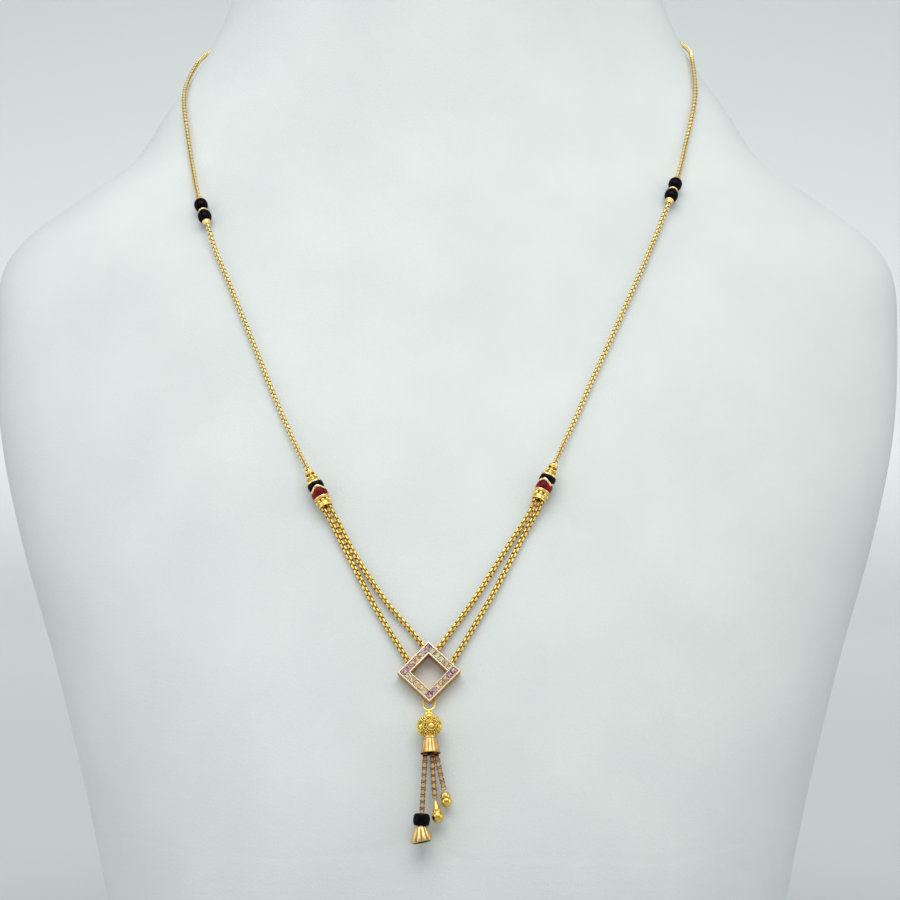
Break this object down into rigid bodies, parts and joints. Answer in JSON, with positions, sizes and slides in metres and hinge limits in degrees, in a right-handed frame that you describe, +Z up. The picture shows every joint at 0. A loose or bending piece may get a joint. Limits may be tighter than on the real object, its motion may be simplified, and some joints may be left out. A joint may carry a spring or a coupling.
{
  "type": "mangalsutra on a neck bust",
  "caption": "Gold box-chain necklace with black beads, enamelled barrels, a stone-set diamond frame, a ball drop and a chain tassel, laid on a plain white neck bust.",
  "frame": {"origin": "on the base's underside, on the plane between left and right, under the middle of the body", "axes": "+Z up, +X to the right of a viewer who stands in front, +Y from the chest towards the nape"},
  "size_m": [0.2226, 0.1558, 0.292],
  "materials": {
    "white_leatherette": "matte white leatherette with a fine grain",
    "gold": "polished yellow gold",
    "pale_gold": "polished pale yellow gold",
    "black_bead": "glossy black glass bead",
    "black_enamel": "glossy black enamel",
    "red_enamel": "glossy red enamel",
    "stone_plum": "square cut purple stone",
    "stone_mauve": "square cut mauve stone",
    "stone_champagne": "square cut champagne stone",
    "stone_clear": "square cut clear stone"
  },
  "bodies": {
    "root": {"bust": "white_leatherette", "chain_left": "gold", "chain_right": "gold", "clasp": "gold", "ring_upper_left": "gold", "bead_upper_left": "black_bead", "spacer_left": "gold", "bead_lower_left": "black_bead", "crimp_left": "gold", "ring_upper_right": "gold", "bead_upper_right": "black_bead", "spacer_right": "gold", "bead_lower_right": "black_bead", "crimp_right": "gold", "barrel_left": "gold", "black_enamel_left": "black_enamel", "red_enamel_left": "red_enamel", "barrel_right": "gold", "black_enamel_right": "black_enamel", "red_enamel_right": "red_enamel", "strand_left_outer": "gold", "strand_left_inner": "gold", "strand_right_inner": "gold", "strand_right_outer": "gold", "diamond_frame": "pale_gold", "stone_01": "stone_plum", "stone_02": "stone_clear", "stone_03": "stone_clear", "stone_04": "stone_clear", "stone_05": "stone_clear", "stone_06": "stone_clear", "stone_07": "stone_plum", "stone_08": "stone_plum", "stone_09": "stone_mauve", "stone_10": "stone_champagne", "stone_11": "stone_champagne", "stone_12": "stone_plum", "stone_13": "stone_plum", "stone_14": "stone_clear", "stone_15": "stone_champagne", "stone_16": "stone_champagne", "stone_17": "stone_clear", "stone_18": "stone_clear", "stone_19": "stone_plum", "stone_20": "stone_plum", "stone_21": "stone_mauve", "stone_22": "stone_clear", "stone_23": "stone_mauve", "stone_24": "stone_plum", "filigree_drop": "gold", "fluted_cone": "pale_gold", "tassel_chain_left": "gold", "tassel_chain_middle": "gold", "tassel_chain_right": "gold", "tassel_bead": "black_bead", "bell_end": "pale_gold", "pear_drop_middle": "gold", "pear_drop_right": "gold"}
  },
  "joints": []
}
